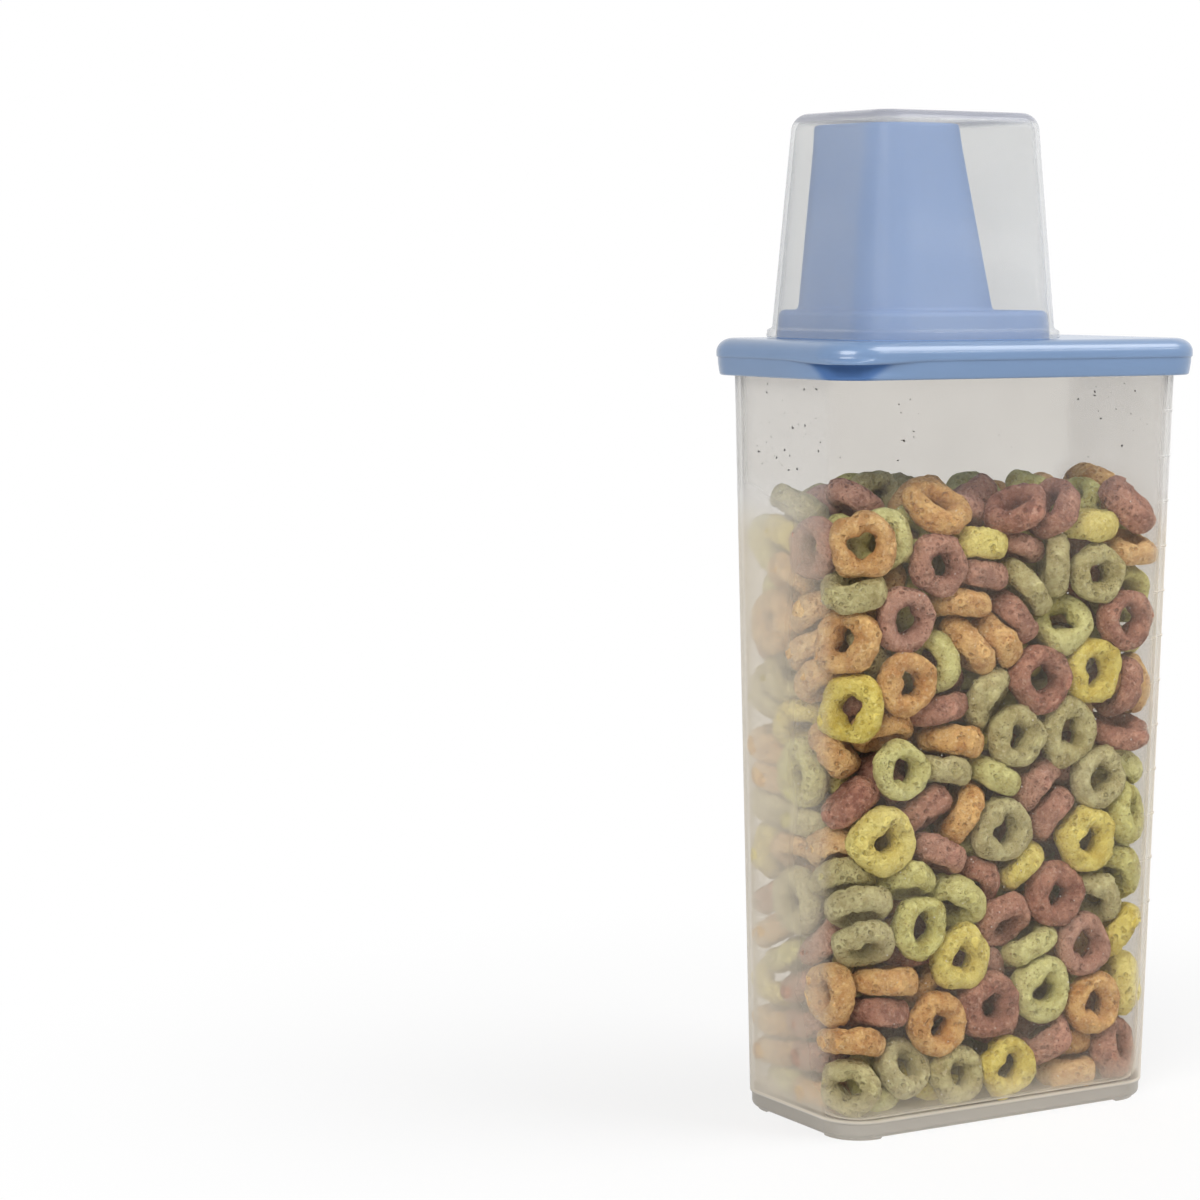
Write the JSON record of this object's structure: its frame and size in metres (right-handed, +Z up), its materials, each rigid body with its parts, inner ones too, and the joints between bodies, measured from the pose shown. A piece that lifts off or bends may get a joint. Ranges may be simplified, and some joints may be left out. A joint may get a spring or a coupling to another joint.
{
  "type": "cereal container with pour spout and measuring cup",
  "caption": "Tall translucent dry-food container with a push-on lid, a pour spout on a collar, a lid seal and a lift-off measuring cup that covers the spout.",
  "frame": {"origin": "middle of the footprint, on the plane the feet stand on", "axes": "+Z up, +X along the container's wide side away from the pouring end, +Y to the back"},
  "size_m": [0.1196, 0.0666, 0.265],
  "materials": {
    "frosted_plastic": "frosted translucent polypropylene",
    "blue_plastic": "satin gloss",
    "clear_plastic": "clear, slightly hazy",
    "seal_silicone": "matt milky silicone"
  },
  "bodies": {
    "container": {"container_body": "frosted_plastic"},
    "lid": {"lid": "blue_plastic", "lid_seal": "seal_silicone", "pour_spout": "blue_plastic"},
    "cup": {"measuring_cup": "clear_plastic"}
  },
  "joints": [
    {"name": "lid_lift", "type": "slide", "parent": "container", "child": "lid", "axis": [0, 0, 1], "range_m": [0, 0.06]},
    {"name": "cup_lift", "type": "slide", "parent": "lid", "child": "cup", "axis": [0, 0, 1], "range_m": [0, 0.08]}
  ]
}
